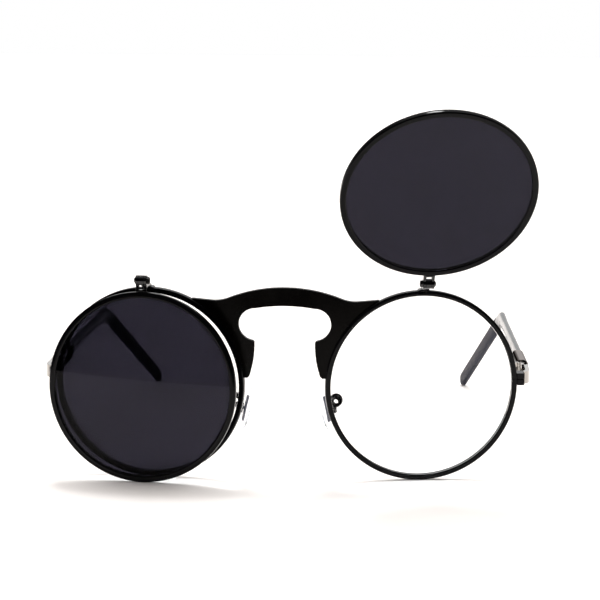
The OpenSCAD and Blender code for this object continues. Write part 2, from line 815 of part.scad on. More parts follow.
// Two walls and a back, open towards the pad
module pad_box(side) {
    color(black_paint) in_pad(side) difference() {
        translate([-box_depth / 2, -insert_w / 2 - box_wall, -pad_box_h / 2])
            cube([box_depth + box_wall, insert_w + 2 * box_wall, pad_box_h]);
        translate([-box_depth, -insert_w / 2, -pad_box_h])
            cube([1.5 * box_depth, insert_w, 2 * pad_box_h]);
        rod_y(pad_screw_r + braze, past);
    }
}

module pad_screw(side) {
    reach = insert_w / 2 + box_wall;
    color(nickel) in_pad(side) {
        rod_y(pad_screw_r, 2 * reach + 0.1);
        translate([0, reach + braze + 0.15, 0]) rod_y(0.6, 0.3);
    }
}

// Lug with a bore, on the plate in the pad
module pad_insert(side) {
    lug = insert_w - 2 * side_play;
    color(clear) in_pad(side) difference() {
        union() {
            rod_y(0.5, lug);
            translate([plate[0], -lug / 2, -0.5]) cube([-plate[0], lug, 1]);
            translate([plate[0] - plate[1], -plate[2] / 2, -plate[3] / 2])
                cube([plate[1], plate[2], plate[3]]);
        }
        rod_y(pad_screw_r + pin_play, past);
    }
}

// Oval pad, wider below, shaped round the plate
module nose_pad(side) {
    lobe = pad_w * 0.62;
    color(silicone) in_pad(side) difference() {
        hull() for (s = [-1, 1])
            translate([pad_mid, 0, s * (pad_len / 2 - lobe)])
                scale([pad_t / 2, pad_w / 2 - (s > 0 ? 0.35 : 0), lobe]) sphere(1, $fn = 32);
        translate([plate[0] - plate[1] - braze, -plate[2] / 2 - braze, -plate[3] / 2 - braze])
            cube([plate[1], plate[2], plate[3]] + [2, 2, 2] * braze);
        translate([plate[0], -insert_w / 2, -0.6]) cube([3, insert_w, 1.2]);
        translate([-box_depth / 2 - 0.15, 0, 0])
            translate([0, -past / 2, -past / 2]) cube(past);
    }
}

bridge_plate();

rim(left);  // rim_left
clear_lens(left);  // clear_lens_left
endpiece(left);  // endpiece_left
closing_block(left);  // closing_block_left
closing_screw(left);  // closing_screw_left
flip_bracket(left);  // flip_bracket_left
flip_rim(left);  // flip_rim_left
dark_lens(left);  // dark_lens_left
flip_yoke(left);  // flip_yoke_left
flip_screw(left);  // flip_screw_left
flip_nut(left);  // flip_nut_left
hinge_arm(left);  // hinge_arm_left
hinge_screw(left);  // hinge_screw_left
temple_hinge(left);  // temple_hinge_left
hinge_box(left);  // hinge_box_left
temple_bar(left);  // temple_bar_left
temple_tip(left);  // temple_tip_left
pad_arm(left);  // pad_arm_left
pad_box(left);  // pad_box_left
pad_screw(left);  // pad_screw_left
pad_insert(left);  // pad_insert_left
nose_pad(left);  // nose_pad_left

rim(right);  // rim_right
clear_lens(right);  // clear_lens_right
endpiece(right);  // endpiece_right
closing_block(right);  // closing_block_right
closing_screw(right);  // closing_screw_right
flip_bracket(right);  // flip_bracket_right
flip_rim(right);  // flip_rim_right
dark_lens(right);  // dark_lens_right
flip_yoke(right);  // flip_yoke_right
flip_screw(right);  // flip_screw_right
flip_nut(right);  // flip_nut_right
hinge_arm(right);  // hinge_arm_right
hinge_screw(right);  // hinge_screw_right
temple_hinge(right);  // temple_hinge_right
hinge_box(right);  // hinge_box_right
temple_bar(right);  // temple_bar_right
temple_tip(right);  // temple_tip_right
pad_arm(right);  // pad_arm_right
pad_box(right);  // pad_box_right
pad_screw(right);  // pad_screw_right
pad_insert(right);  // pad_insert_right
nose_pad(right);  // nose_pad_right
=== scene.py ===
"""Round metal glasses with a dark lens hinged over each clear lens, on white studio paper.

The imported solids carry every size, and each piece here stands where its solid stands. Rims,
lenses, flip brackets, temple bars and tips, nose pads and their wire arms are made anew; the other
metal parts are the solids with small rounded edges. Meshes are in metres, named sizes in mm.
"""

import json
import logging
import math
from dataclasses import dataclass
from enum import Enum
from typing import Callable, Iterable, Mapping, Sequence

import bmesh
import bpy
from mathutils import Matrix, Vector

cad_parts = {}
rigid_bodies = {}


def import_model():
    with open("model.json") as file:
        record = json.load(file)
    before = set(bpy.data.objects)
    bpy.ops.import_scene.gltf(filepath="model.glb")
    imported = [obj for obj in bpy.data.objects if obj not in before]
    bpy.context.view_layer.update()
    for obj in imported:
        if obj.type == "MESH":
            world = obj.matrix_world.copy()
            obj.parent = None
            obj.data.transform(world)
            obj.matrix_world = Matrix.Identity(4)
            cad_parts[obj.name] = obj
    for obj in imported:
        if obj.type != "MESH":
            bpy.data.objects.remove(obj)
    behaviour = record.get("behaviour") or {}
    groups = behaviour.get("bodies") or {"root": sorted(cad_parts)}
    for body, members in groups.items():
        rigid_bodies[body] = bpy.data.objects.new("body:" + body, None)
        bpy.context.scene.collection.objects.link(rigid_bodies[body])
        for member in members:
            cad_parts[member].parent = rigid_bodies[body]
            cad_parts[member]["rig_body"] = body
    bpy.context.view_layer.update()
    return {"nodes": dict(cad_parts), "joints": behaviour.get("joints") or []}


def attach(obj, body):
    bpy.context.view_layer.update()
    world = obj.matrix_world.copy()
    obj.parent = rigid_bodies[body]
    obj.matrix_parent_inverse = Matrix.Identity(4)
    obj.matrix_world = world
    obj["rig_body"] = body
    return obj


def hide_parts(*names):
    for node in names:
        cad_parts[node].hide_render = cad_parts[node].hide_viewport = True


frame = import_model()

Shape = bmesh.types.BMesh
Corner = bmesh.types.BMVert
Socket = bpy.types.NodeSocket

LOG = logging.getLogger("flip_up_sunglasses")
MM = 0.001
CREASE = math.radians(32)  # faces that meet at more than this angle form an edge
FLAT = math.radians(0.8)  # faces that meet at less than this angle are one flat face
WELD = 2e-6  # corners nearer than this are one corner, in metres
WEAR_PATCH = 9.0  # size of the patches that hands and cloths rub, in mm
RUBBED_SPAN = (0.35, 0.7)  # values of the patches' noise where a face is new and where it is worn
STRAY_SPAN = (0.3, 0.7)  # values of it where the face is smoothest and where it is roughest
PAINTED_SIDE_SHADE_SPAN = (0.1, 0.85)  # how far aside a face looks where the painted side shade starts and where it is darkest


class Side(Enum):
    """The two sides of the glasses, as the camera sees them."""

    LEFT = -1
    RIGHT = 1

    @property
    def suffix(self) -> str:
        """The ending of this side's node and body names."""
        return "left" if self is Side.LEFT else "right"


class Edge(Enum):
    """Radius of a rounded metal edge in mm, by how the piece is made."""

    TUMBLED = 0.05
    PLATED = 0.1
    POLISHED = 0.18
    ROUNDED = 0.4
    DRAWN = 0.5


def linear(colour: str) -> tuple[float, float, float, float]:
    """Turns an sRGB hex colour into the linear colour that a shader takes.

    Args:
        colour: The colour as six hex digits after a hash.

    Returns:
        Linear red, green, blue and an alpha of one.
    """
    parts = [int(colour[i:i + 2], 16) / 255 for i in (1, 3, 5)]
    red, green, blue = (p / 12.92 if p <= 0.04045 else ((p + 0.055) / 1.055) ** 2.4 for p in parts)
    return red, green, blue, 1.0


def add_node(
    tree: bpy.types.NodeTree,
    kind: str,
    settings: Mapping[str | int, object] | None = None,
    links: Mapping[str | int, Socket] | None = None,
) -> bpy.types.Node:
    """Adds a node with its settings and its incoming links.

    Args:
        tree: The node tree to add to.
        kind: Blender's name for the kind of node.
        settings: Values for the node's own options and for its input sockets.
        links: Output sockets that feed the node's input sockets.

    Returns:
        The new node.
    """
    node = tree.nodes.new(kind)
    for name, value in (settings or {}).items():
        if isinstance(name, str) and hasattr(node, name):
            setattr(node, name, value)
        else:
            node.inputs[name].default_value = value
    for name, source in (links or {}).items():
        tree.links.new(source, node.inputs[name])
    return node


@dataclass(frozen=True)
class Finish:
    """A surface as it was made: what it is, and the fine texture that its making left."""

    name: str  # the material and the process
    colour: str  # its colour, as sRGB hex
    worn: str  # its colour where hands and cloths have rubbed it
    roughness: float  # its mean roughness
    spread: float = 0.04  # how far the roughness strays over the surface
    metallic: float = 0.0  # one for bare or plated metal
    ior: float = 1.5  # index of refraction, where it isn't a metal
    clarity: float = 0.0  # share of the light that goes in and passes through
    sheen_level: float = 0.5  # how much of the usual mirror reflection the coating keeps
    edge: str = "#ffffff"  # tint of a metal's reflection at a low angle, as sRGB hex
    grain: float = 0.4  # size of the fine texture in mm
    depth: float = 0.002  # depth of the fine texture in mm
    stretch: float = 1.0  # how many times longer the texture is along Y than across it
    flank: float = 0.0  # how dark the shade painted on the sides that look along X is, from 0 to 1

    def material(self) -> bpy.types.Material:
        """Builds the finish once and gives it back after that.

        Returns:
            The material.
        """
        known = bpy.data.materials.get(self.name)
        if known:
            return known
        made = bpy.data.materials.new(self.name)
        made.use_nodes = True
        tree = made.node_tree
        tree.nodes.clear()
        place = add_node(tree, "ShaderNodeTexCoord")
        drawn = add_node(
            tree, "ShaderNodeMapping",
            {"Scale": (1.0, 1.0 / self.stretch, 1.0)}, {"Vector": place.outputs["Object"]},
        )
        texture = add_node(
            tree, "ShaderNodeTexNoise",
            {"Scale": 1 / (self.grain * MM), "Detail": 3.0, "Roughness": 0.55},
            {"Vector": drawn.outputs["Vector"]},
        )
        patches = add_node(
            tree, "ShaderNodeTexNoise",
            {"Scale": 1 / (WEAR_PATCH * MM), "Detail": 2.0, "Roughness": 0.5},
            {"Vector": place.outputs["Object"]},
        )
        rubbed = add_node(
            tree, "ShaderNodeMapRange",
            {"From Min": RUBBED_SPAN[0], "From Max": RUBBED_SPAN[1], "To Min": 0.0, "To Max": 1.0},
            {"Value": patches.outputs["Fac"]},
        )
        tint = add_node(
            tree, "ShaderNodeMix",
            {"data_type": "RGBA", 6: linear(self.colour), 7: linear(self.worn)},
            {0: rubbed.outputs["Result"]},
        )
        rough = add_node(
            tree, "ShaderNodeMapRange",
            {"From Min": STRAY_SPAN[0], "From Max": STRAY_SPAN[1],
             "To Min": max(self.roughness - self.spread, 0.0),
             "To Max": self.roughness + self.spread},
            {"Value": patches.outputs["Fac"]},
        )
        relief = add_node(
            tree, "ShaderNodeBump",
            {"Strength": 1.0, "Distance": self.depth * MM}, {"Height": texture.outputs["Fac"]},
        )
        body = add_node(
            tree, "ShaderNodeBsdfPrincipled",
            {"Metallic": self.metallic, "IOR": self.ior, "Transmission Weight": self.clarity,
             "Specular IOR Level": self.sheen_level, "Specular Tint": linear(self.edge)},
            {"Base Color": tint.outputs[2], "Roughness": rough.outputs["Result"],
             "Normal": relief.outputs["Normal"]},
        )
        # Painted shade: the sides that look along X get a darker colour and a darker edge tint.
        if self.flank:
            self.darken_flanks(tree, body, place.outputs["Normal"], tint.outputs[2])
        add_node(tree, "ShaderNodeOutputMaterial", links={"Surface": body.outputs["BSDF"]})
        return made

    def darken_flanks(
        self, tree: bpy.types.NodeTree, body: bpy.types.Node, facing: Socket, tint: Socket,
    ) -> None:
        """Paints shade on the faces that look sideways, along the piece's own X, by darkening the
        colour and the edge tint there.

        Args:
            tree: The material's nodes.
            body: The shader that gets the darker colours.
            facing: The way each face looks, in the piece's own axes.
            tint: The colour before it is darkened.
        """
        axes = add_node(tree, "ShaderNodeSeparateXYZ", links={"Vector": facing})
        sideways = add_node(
            tree, "ShaderNodeMath", {"operation": "ABSOLUTE"}, {0: axes.outputs["X"]},
        )
        share = add_node(
            tree, "ShaderNodeMapRange",
            {"From Min": PAINTED_SIDE_SHADE_SPAN[0], "From Max": PAINTED_SIDE_SHADE_SPAN[1], "To Min": 1.0,
             "To Max": 1.0 - self.flank},
            {"Value": sideways.outputs["Value"]},
        )
        for socket, settings, links in (
            ("Base Color", {}, {0: tint}), ("Specular Tint", {0: linear(self.edge)[:3]}, {}),
        ):
            scaled = add_node(
                tree, "ShaderNodeVectorMath", {"operation": "SCALE", **settings},
                {**links, "Scale": share.outputs["Result"]},
            )
            tree.links.new(scaled.outputs["Vector"], body.inputs[socket])


# Turning marks, mould grain and paper fibres are finer than 0.1 mm in truth, so the grains below
# are drawn as coarse as they need to show. Orange peel and wear patches have their real sizes.

# Sprayed and baked black enamel on wire and pressed parts: deep black, with thin bright lines
# where it turns to the light, and a faint orange peel.
BAKED_ENAMEL = Finish(
    "black_enamel_sprayed_and_baked", "#060608", "#09090b", 0.12, sheen_level=0.11,
    grain=0.7, depth=0.002,
)
# The same enamel on the small turned hinge parts, which catch the overhead lamp as thin lines.
HINGE_ENAMEL = Finish(
    "black_enamel_on_turned_hinges", "#060608", "#09090b", 0.07, spread=0.02, sheen_level=0.5,
    grain=0.4, depth=0.001,
)
# The same enamel on the flat bridge sheet, which shows a softer, silkier black.
SATIN_ENAMEL = Finish(
    "black_enamel_satin_on_sheet", "#060504", "#090807", 0.22, spread=0.05, sheen_level=0.06,
    grain=0.35, depth=0.002,
)
# Enamel that was polished after baking, on the temple bars: mirrors the paper at a low angle.
POLISHED_ENAMEL = Finish(
    "black_enamel_baked_and_polished", "#0b0b0d", "#111114", 0.16, sheen_level=0.5,
    grain=0.9, depth=0.001, stretch=5.0,
)
# Wire that was only dipped in enamel: a duller black than the sprayed parts.
DIPPED_ENAMEL = Finish(
    "black_enamel_dipped", "#08080a", "#101013", 0.3, sheen_level=0.03, grain=0.3, depth=0.003,
)
# Bright nickel plating over turned and pressed metal: a warm mirror with fine turning marks.
BRIGHT_NICKEL = Finish(
    "nickel_plated_and_polished", "#a39f99", "#8c8882", 0.09, spread=0.03, metallic=1.0,
    grain=0.12, depth=0.001, stretch=6.0,
)
# The same plating inside the temple hinge, in a lighter colour and with shade painted on the sides
# that look along X: bright tops between painted dark sides.
HINGE_NICKEL = Finish(
    "nickel_plated_inside_hinge_painted_side_shade", "#b3afa9", "#9c9892", 0.09, spread=0.03, metallic=1.0,
    grain=0.12, depth=0.001, stretch=6.0, flank=0.9,
)
# Black nickel on the small screws of the flip hinges: dark, with one sharp glint.
BLACK_NICKEL = Finish(
    "black_nickel_plated", "#3c3b3c", "#4b4a4a", 0.18, metallic=1.0, edge="#a0a0a0",
    grain=0.15, depth=0.001, stretch=3.0,
)
# Dark chrome on the hinge box: a smoky mirror on its crown, with shade painted on its sides that
# look along X, which leaves them nearly black.
DARK_CHROME = Finish(
    "dark_chrome_plated_painted_side_shade", "#8b8482", "#7d7674", 0.1, metallic=1.0, edge="#dcd8d6",
    grain=0.3, depth=0.0015, stretch=8.0, flank=0.93,
)
# Injection moulded black acetate of the temple tips: blue-black with a fine dull grain.
MOULDED_ACETATE = Finish(
    "black_acetate_moulded", "#24242d", "#2c2c37", 0.4, sheen_level=0.02, grain=0.5, depth=0.002,
)
# Cast lens resin, polished and coated against glare: unseen but for its thin edge. The low
# index stands for the coating.
CLEAR_RESIN = Finish(
    "clear_lens_resin_polished_and_coated", "#fdfefe", "#fbfcfd", 0.004, spread=0.003, ior=1.12,
    clarity=1.0, sheen_level=0.3, grain=1.5, depth=0.0001,
)
# Smoke grey lens resin, dyed through and coated against glare: only about a fiftieth of the
# light passes. The low index stands for the coating, which leaves hardly any mirror image.
SMOKE_RESIN = Finish(
    "smoke_lens_resin_dyed_and_coated", "#201f28", "#1f1e26", 0.006, spread=0.004, ior=1.16,
    clarity=1.0, sheen_level=0.08, grain=1.5, depth=0.0001,
)
# Soft clear silicone of the nose pads: nearly unseen against white, faintly grey at its edges.
CLEAR_SILICONE = Finish(
    "clear_silicone_moulded", "#f3f4f7", "#e9ebef", 0.06, spread=0.02, ior=1.06, clarity=1.0,
    sheen_level=0.3, grain=1.2, depth=0.0005,
)
# Grey polycarbonate of the plate inside each pad: the one part of a pad that shows.
GREY_PLASTIC = Finish(
    "grey_polycarbonate_moulded", "#63656f", "#72747f", 0.3, ior=1.58, sheen_level=0.1,
    grain=0.3, depth=0.001,
)
# Roll of white studio paper.
STUDIO_PAPER = Finish(
    "white_studio_paper", "#fbfbfb", "#f9f9f9", 0.9, spread=0.03, sheen_level=0.1,
    grain=1.2, depth=0.01,
)


def hinge_place(joint: str) -> Vector:
    """The point that a joint turns about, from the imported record.

    Args:
        joint: The joint's name.

    Returns:
        The point, in metres.
    """
    return Vector(next(j["pos_m"] for j in frame["joints"] if j["name"] == joint))


def new_piece(
    name: str, build: Callable[[Shape], None], finish: Finish, body: str,
    stands_for: Sequence[str] = (),
) -> bpy.types.Object:
    """Makes a smooth mesh object that rides on a body.

    Args:
        name: The piece's name.
        build: Fills an empty mesh, in metres.
        finish: The piece's finish.
        body: The body that it moves with.
        stands_for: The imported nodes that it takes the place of.

    Returns:
        The new object.
    """
    shape = bmesh.new()
    build(shape)
    bmesh.ops.recalc_face_normals(shape, faces=shape.faces)
    mesh = bpy.data.meshes.new(name)
    shape.to_mesh(mesh)
    shape.free()
    mesh.polygons.foreach_set("use_smooth", [True] * len(mesh.polygons))
    mesh.set_sharp_from_angle(angle=CREASE)
    piece = bpy.data.objects.new(name, mesh)
    bpy.context.scene.collection.objects.link(piece)
    mesh.materials.append(finish.material())
    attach(piece, body)
    if stands_for:
        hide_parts(*stands_for)
    LOG.info("%s on %s", name, body)
    return piece


def let_light_through(piece: bpy.types.Object) -> None:
    """Keeps a clear piece from casting the shadow of a solid one."""
    piece.visible_shadow = False


def soften(node: str, finish: Finish, edge: Edge) -> bpy.types.Object:
    """Stands a copy of a node with rounded edges in its place.

    Args:
        node: The node's name.
        finish: The copy's finish.
        edge: How round its edges are.

    Returns:
        The new object.
    """
    source = frame["nodes"][node]

    def build(shape: Shape) -> None:
        """Copies the node's faces, with flat ones joined.

        Args:
            shape: The mesh to fill.
        """
        shape.from_mesh(source.data)
        bmesh.ops.remove_doubles(shape, verts=shape.verts, dist=WELD)
        bmesh.ops.dissolve_limit(shape, angle_limit=FLAT, verts=shape.verts, edges=shape.edges)

    piece = new_piece(f"{node}.finished", build, finish, source["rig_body"], [node])
    for layer in ("custom_normal", "sharp_face"):
        if layer in piece.data.attributes:
            piece.data.attributes.remove(piece.data.attributes[layer])
    rounded = piece.modifiers.new("rounded edges", "BEVEL")
    rounded.width = edge.value * MM
    rounded.segments = 3
    rounded.limit_method = "ANGLE"
    rounded.angle_limit = CREASE
    rounded.harden_normals = True
    return piece


def mirrored(points: Iterable[Vector], side: Side) -> list[Vector]:
    """Puts points of the right side on the given side."""
    return [Vector((p.x * side.value, p.y, p.z)) for p in points]


def stitch(shape: Shape, loops: Sequence[Sequence[Corner]]) -> None:
    """Joins each closed loop of corners to the next one.

    Args:
        shape: The mesh to add to.
        loops: The loops, with as many corners in each.
    """
    for a, b in zip(loops, loops[1:]):
        for k in range(len(a)):
            n = (k + 1) % len(a)
            shape.faces.new((a[k], a[n], b[n], b[k]))


def add_fan(shape: Shape, pole: Corner, loop: Sequence[Corner]) -> None:
    """Joins a closed loop of corners to one point."""
    for k in range(len(loop)):
        shape.faces.new((pole, loop[k], loop[(k + 1) % len(loop)]))


def add_body(shape: Shape, loops: Sequence[Sequence[Corner]]) -> None:
    """Joins loops of corners to a body that is closed at both ends.

    Args:
        shape: The mesh to add to.
        loops: The loops, from one end to the other.
    """
    stitch(shape, loops)
    shape.faces.new(loops[0])
    shape.faces.new(reversed(loops[-1]))


def add_tube(shape: Shape, path: Sequence[Vector], radii: Sequence[float], ring: int = 14) -> None:
    """Adds a closed round tube along a path.

    Args:
        shape: The mesh to add to.
        path: Points of its centre line.
        radii: Its radius at each point.
        ring: How many corners its cross-section has.
    """
    loops: list[list[Corner]] = []
    up = Vector((0, 0, 1))
    for i, point in enumerate(path):
        run = (path[min(i + 1, len(path) - 1)] - path[max(i - 1, 0)]).normalized()
        across = run.cross(up)
        if across.length < 1e-3:
            across = run.cross(Vector((1, 0, 0)))
        across.normalize()
        up = across.cross(run).normalized()
        loops.append([
            shape.verts.new(point + radii[i] * (
                across * math.cos(2 * math.pi * k / ring) + up * math.sin(2 * math.pi * k / ring)
            ))
            for k in range(ring)
        ])
    add_body(shape, loops)


@dataclass(frozen=True)
class Lens:
    """A round lens of even thickness, curved out to the front. Sizes are in mm."""

    radius: float  # its radius at the point of its bevel
    thickness: float  # its thickness
    curve: float = 265.0  # radius that its faces are ground to
    bevel: float = 0.5  # depth of the bevel that sits in the rim's groove

    def profile(self) -> list[tuple[float, float]]:
        """The outline from the middle of the front to the middle of the back.

        Returns:
            Distance from the axis and distance to the front, point by point.
        """
        steps = 16
        edge = self.radius - self.bevel
        rim_level = math.sqrt(self.curve ** 2 - edge ** 2)
        face = [
            (r, math.sqrt(self.curve ** 2 - r * r) - rim_level)
            for r in (edge * math.sin(math.pi / 2 * i / steps) for i in range(steps + 1))
        ]
        half = self.thickness / 2
        front = [(r, half + rise) for r, rise in face]
        back = [(r, rise - half) for r, rise in reversed(face)]
        return [*front, (edge, self.bevel), (self.radius, 0.0), (edge, -self.bevel), *back]

    def add_to(self, shape: Shape, place: Matrix) -> None:
        """Adds the lens, turned about its axis, which is the Y of its place.

        Args:
            shape: The mesh to add to.
            place: Where the lens stands, in mm.
        """
        add_turned(shape, self.profile(), place, steps=128)


def add_turned(
    shape: Shape, outline: Sequence[tuple[float, float]], place: Matrix, steps: int,
) -> None:
    """Adds a solid turned about the Y axis of a place, the front towards -Y.

    Args:
        shape: The mesh to add to.
        outline: Distance from the axis and distance to the front; the ends are on the axis.
        place: Where it stands, in mm.
        steps: How many steps the turn has.
    """
    turns = [(math.cos(2 * math.pi * k / steps), math.sin(2 * math.pi * k / steps))
             for k in range(steps)]
    loops = [
        [shape.verts.new(place @ Vector((r * c, -front, r * s)) * MM) for c, s in turns]
        for r, front in outline[1:-1]
    ]
    stitch(shape, loops)
    for (_, front), loop in ((outline[0], loops[0]), (outline[-1], loops[-1])):
        add_fan(shape, shape.verts.new(place @ Vector((0, -front, 0)) * MM), loop)


@dataclass(frozen=True)
class Ring:
    """A round rim of flat wire with a groove for its lens. Sizes are in mm."""

    radius: float  # its outer radius
    width: float  # its width across the wire
    depth: float  # its depth from front to back
    corner: float = 0.3  # radius of the wire's corners
    groove: float = 0.5  # depth of the groove, and half of its width
    slit_height: float | None = None  # height of the slit where the rim opens, if it does
    slit: float = 0.1  # width of that slit

    def profile(self) -> list[tuple[float, float]]:
        """The wire's cross-section.

        Returns:
            Distance from the axis and distance to the front, corner by corner.
        """
        inner, half, c = self.radius - self.width, self.depth / 2, self.corner
        points: list[tuple[float, float]] = []
        for r, front, start in (
            (self.radius - c, half - c, 0), (inner + c, half - c, 90),
            (inner + c, c - half, 180), (self.radius - c, c - half, 270),
        ):
            if start == 180:
                points += [
                    (inner, self.groove), (inner + self.groove, 0.0), (inner, -self.groove),
                ]
            points += [
                (r + c * math.cos(math.radians(start + a)),
                 front + c * math.sin(math.radians(start + a)))
                for a in range(0, 91, 18)
            ]
        return points

    def add_to(self, shape: Shape, place: Matrix, steps: int = 180) -> None:
        """Adds the rim, round the Y axis of its place.

        Args:
            shape: The mesh to add to.
            place: Where the rim stands, in mm.
            steps: How many steps the turn has.
        """
        begin, turn = 0.0, 2 * math.pi
        if self.slit_height is not None:
            middle = math.asin(self.slit_height / (self.radius - self.width / 2))
            half = self.slit / 2 / self.radius
            begin, turn = middle + half, turn - 2 * half
        loops = []
        for k in range(steps if self.slit_height is None else steps + 1):
            t = begin + turn * k / steps
            loops.append([
                shape.verts.new(place @ Vector((r * math.cos(t), -front, r * math.sin(t))) * MM)
                for r, front in self.profile()
            ])
        if self.slit_height is None:
            stitch(shape, [*loops, loops[0]])
        else:
            add_body(shape, loops)


def add_prism(
    shape: Shape, place: Matrix, outline: Sequence[tuple[float, float]], deep: float,
) -> None:
    """Adds a flat piece with a straight-sided outline, thick along the Z of its place.

    Args:
        shape: The mesh to add to.
        place: Where it stands, in mm; the middle of its thickness is at Z = 0.
        outline: Corners in its X and Y.
        deep: Its thickness.
    """
    add_body(shape, [
        [shape.verts.new(place @ Vector((x, y, z)) * MM) for x, y in outline]
        for z in (-deep / 2, deep / 2)
    ])


@dataclass(frozen=True)
class Stance:
    """Where the rims and the flip hinges stand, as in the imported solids.

    Sizes are in mm, angles in degrees.
    """

    rim_r: float = 25.1  # outer radius of the main rims
    rim_w: float = 1.4  # width of their wire
    rim_d: float = 2.0  # depth of their wire
    rim_spread: float = 70.3  # distance between their centres
    wrap: float = 9.1  # how far each rim turns back at its outer end
    lean: float = 4.4  # how far the rims lean back at the top
    hinge_back: float = 19.5  # distance of the temple hinges behind the rim centres
    flip_fwd: float = 6.4  # distance of the flip hinges before the rims
    flip_rise: float = 2.9  # height of the flip hinges above the rims
    flip_less: float = 0.35  # how much smaller the dark lenses' rims are than the main ones
    flip_hang: float = 2.95  # distance from a flip hinge to the edge of its dark rim
    flip_w: float = 1.6  # width of the dark rims' wire
    flip_closed: float = 3.4  # angle of the left dark lens, which is closed
    flip_open: float = 153.4  # angle of the right one, which is raised
    bevel: float = 0.5  # depth of the groove in each rim
    lens_play: float = 0.03  # gap between a lens and the bottom of its groove

    @property
    def front_y(self) -> float:
        """Depth of the rim centres."""
        return hinge_place("temple_right_hinge").y / MM - self.hinge_back

    @property
    def rim_z(self) -> float:
        """Height of the rim centres above the table."""
        lean = math.radians(self.lean)
        return self.rim_r * math.cos(lean) + self.rim_d / 2 * math.sin(lean)

    @property
    def flip_r(self) -> float:
        """Outer radius of the dark lenses' rims."""
        return self.rim_r - self.flip_less

    def rim(self, side: Side) -> Matrix:
        """A rim's own frame: X along its width, Y back and Z up along its plane."""
        return (
            Matrix.Diagonal((side.value, 1, 1, 1))
            @ Matrix.Translation((self.rim_spread / 2, self.front_y, self.rim_z))
            @ Matrix.Rotation(math.radians(self.wrap), 4, "Z")
            @ Matrix.Rotation(math.radians(self.lean), 4, "X")
        )

    def dark_lens(self, side: Side) -> Matrix:
        """A dark lens's own frame, at its centre."""
        angle = self.flip_closed if side is Side.LEFT else self.flip_open
        return (
            self.rim(side)
            @ Matrix.Translation((0, -self.flip_fwd, self.rim_r + self.flip_rise))
            @ Matrix.Rotation(math.radians(-angle), 4, "X")
            @ Matrix.Translation((0, 0, -self.flip_r - self.flip_hang))
        )


STANCE = Stance()


@dataclass
class Front:
    """Both rims with their lenses, the bridge and the closing blocks. Sizes are in mm."""

    lens_thickness: float = 1.5  # thickness of the clear lenses
    split_height: float = 1.5  # height of each rim's slit above its centre

    def build(self) -> None:
        """Builds the front."""
        soften("bridge_plate", SATIN_ENAMEL, Edge.POLISHED)
        for side in Side:
            self.build_rim(side)
            self.build_closing(side)

    def build_rim(self, side: Side) -> None:
        """Rolls one rim and grinds its clear lens.

        Args:
            side: The side that they are on.
        """
        rim = Ring(STANCE.rim_r, STANCE.rim_w, STANCE.rim_d, slit_height=self.split_height)
        new_piece(
            f"rim_{side.suffix}.rolled", lambda shape: rim.add_to(shape, STANCE.rim(side)),
            BAKED_ENAMEL, "frame", [f"rim_{side.suffix}"],
        )
        lens = Lens(
            STANCE.rim_r - STANCE.rim_w + STANCE.bevel - STANCE.lens_play, self.lens_thickness,
        )
        let_light_through(new_piece(
            f"clear_lens_{side.suffix}.ground",
            lambda shape: lens.add_to(shape, STANCE.rim(side)),
            CLEAR_RESIN, "frame", [f"clear_lens_{side.suffix}"],
        ))

    def build_closing(self, side: Side) -> None:
        """Rounds the blocks that close one rim, and their screw.

        Args:
            side: The side that they are on.
        """
        soften(f"endpiece_{side.suffix}", BAKED_ENAMEL, Edge.PLATED)
        soften(f"closing_block_{side.suffix}", BAKED_ENAMEL, Edge.PLATED)
        soften(f"closing_screw_{side.suffix}", BRIGHT_NICKEL, Edge.TUMBLED)


